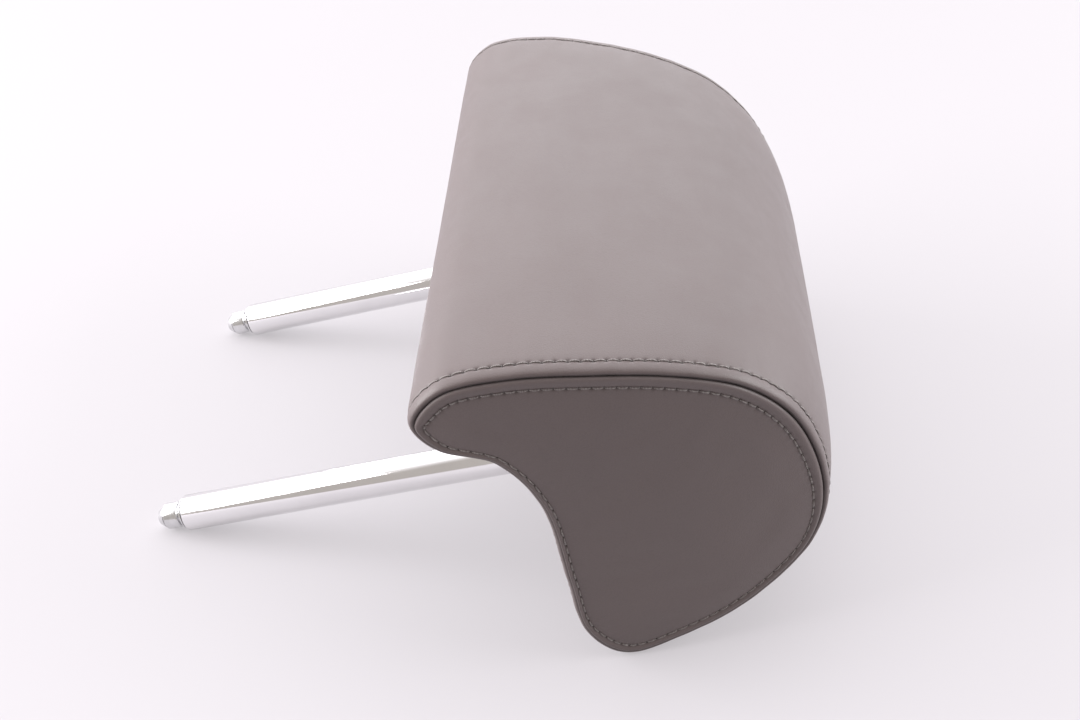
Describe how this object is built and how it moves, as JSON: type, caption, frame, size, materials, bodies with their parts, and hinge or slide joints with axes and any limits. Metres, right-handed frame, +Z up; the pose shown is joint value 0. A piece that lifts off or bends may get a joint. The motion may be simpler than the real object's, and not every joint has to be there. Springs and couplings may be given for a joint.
{
  "type": "seat head restraint",
  "caption": "Leather-covered, comma-shaped seat head restraint: a padded head that tilts on a chromed post frame with necked snap-in tips.",
  "frame": {"origin": "middle of the bounding box's underside, on the surface the part lies on: the rear lobe and the post tips touch it", "axes": "+X along the crossbar and across the pad's width, +Y from the post tips towards the crown, +Z up, out of the front face that the head rests against"},
  "size_m": [0.2492, 0.2518, 0.126],
  "materials": {
    "post_chrome": "polished",
    "tip_steel": "satin",
    "hard_steel": "satin",
    "core_plastic": "satin",
    "acetal": "satin",
    "spring_steel": "satin",
    "nylon": "satin",
    "zinc": "satin",
    "foam": "matte",
    "leather": "satin",
    "trim_plastic": "satin"
  },
  "bodies": {
    "posts": {"post_frame": "post_chrome", "post_tip_left": "tip_steel", "post_tip_right": "tip_steel", "stop_pin": "hard_steel", "thrust_collar_left": "hard_steel", "thrust_collar_right": "hard_steel"},
    "pad": {"core_front_shell": "core_plastic", "core_rear_shell": "core_plastic", "pivot_bush_left": "acetal", "pivot_bush_right": "acetal", "friction_clip_left": "spring_steel", "friction_clip_right": "spring_steel", "stop_block": "nylon", "core_screw_1": "zinc", "core_screw_2": "zinc", "core_screw_3": "zinc", "core_screw_4": "zinc", "core_screw_5": "zinc", "core_screw_6": "zinc", "foam_front": "foam", "foam_rear": "foam", "cover_center_panel": "leather", "cover_side_left": "leather", "cover_side_right": "leather", "slot_bezel_left": "trim_plastic", "slot_bezel_right": "trim_plastic", "closure_strip_upper": "trim_plastic", "closure_strip_lower": "trim_plastic"}
  },
  "joints": [
    {"name": "pad_tilt", "type": "hinge", "parent": "posts", "child": "pad", "pos_m": [0, 0.05704, 0.05418], "axis": [1, 0, 0], "range_deg": [0, 25]}
  ]
}
